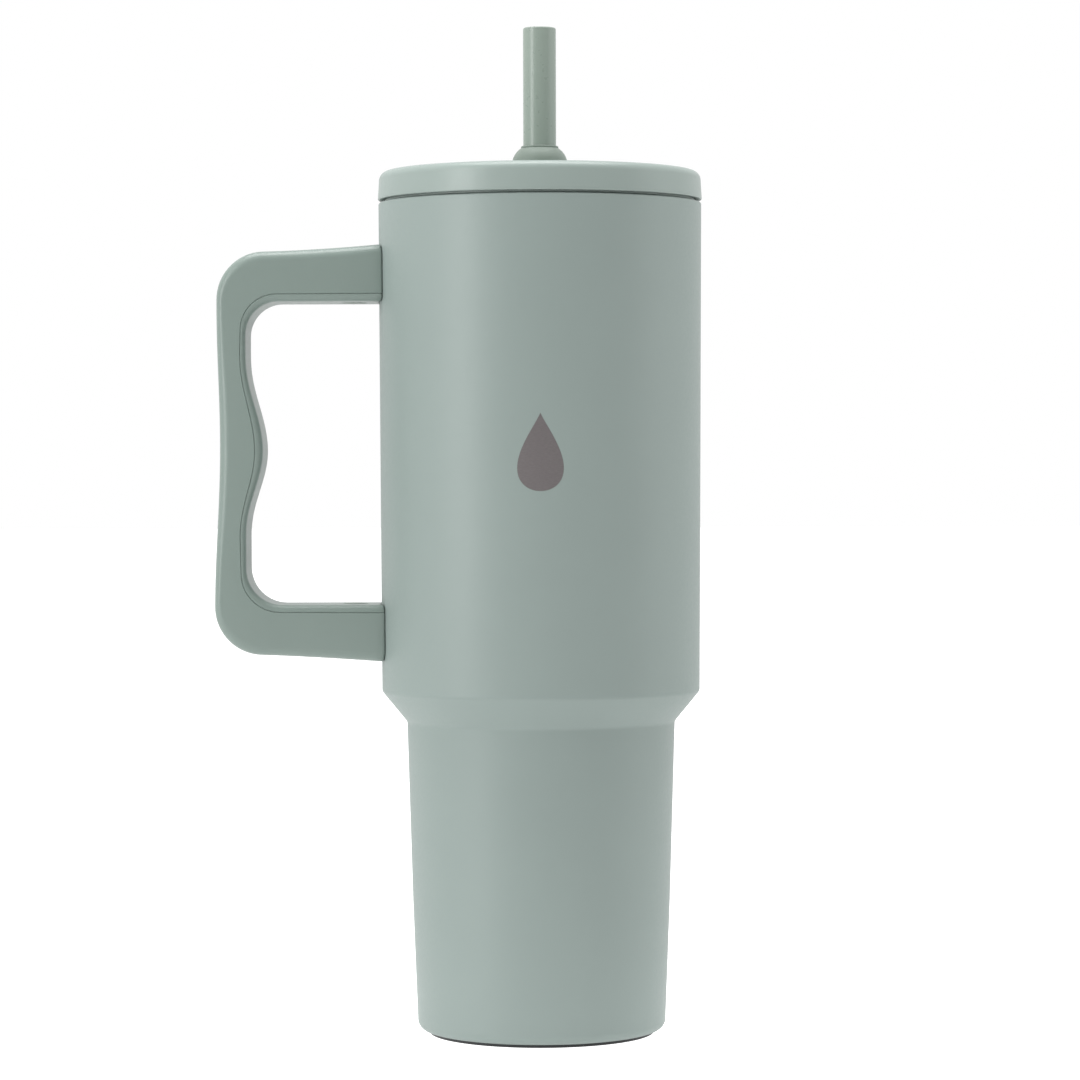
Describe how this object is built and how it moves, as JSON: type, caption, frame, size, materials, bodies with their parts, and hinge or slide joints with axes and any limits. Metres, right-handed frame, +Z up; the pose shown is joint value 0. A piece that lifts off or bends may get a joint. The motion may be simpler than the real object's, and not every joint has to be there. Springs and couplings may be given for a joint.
{
  "type": "insulated tumbler with lid",
  "caption": "Tall double-walled steel tumbler with a stepped lower half, a side handle, a press-in lid and a rigid straw held in a silicone grommet.",
  "frame": {"origin": "centre of the base pad's underside, on the cup's axis", "axes": "+Z up along the cup's axis towards the straw's tip; the handle is on the -X side; -Y is the front"},
  "size_m": [0.1479, 0.0986, 0.306],
  "materials": {
    "powder_coat": "fine-textured satin powder coat, sage green",
    "bare_steel": "satin",
    "copper_foil": "bright foil",
    "seal_glass": "fused bead",
    "getter_metal": "sintered",
    "silicone_charcoal": "matte silicone",
    "silicone_sage": "satin silicone",
    "lid_plastic": "satin moulded, sage green",
    "lid_inner_plastic": "satin moulded",
    "handle_plastic": "satin moulded, sage green",
    "straw_plastic": "semi-gloss, sage green"
  },
  "bodies": {
    "tumbler": {"outer_shell": "powder_coat", "inner_liner": "bare_steel", "radiation_foil": "copper_foil", "vacuum_base": "bare_steel", "getter_clip": "bare_steel", "getter": "getter_metal", "vacuum_seal": "seal_glass", "base_cap": "bare_steel", "base_pad": "silicone_charcoal", "upper_bracket": "bare_steel", "lower_bracket": "bare_steel", "bracket_nuts": "bare_steel", "handle_shell": "handle_plastic", "handle_cover": "handle_plastic", "handle_screws": "bare_steel", "screw_plugs": "silicone_sage"},
    "lid": {"lid_cover": "lid_plastic", "lid_base": "lid_inner_plastic", "lid_gasket": "silicone_charcoal", "straw_grommet": "silicone_sage", "vent_valve": "silicone_charcoal"},
    "straw": {"straw": "straw_plastic"}
  },
  "joints": [
    {"name": "lid_lift", "type": "slide", "parent": "tumbler", "child": "lid", "axis": [0, 0, 1], "range_m": [0, 0.26]},
    {"name": "straw_slide", "type": "slide", "parent": "lid", "child": "straw", "axis": [0, 0, 1], "range_m": [-0.0025, 0.26]}
  ]
}
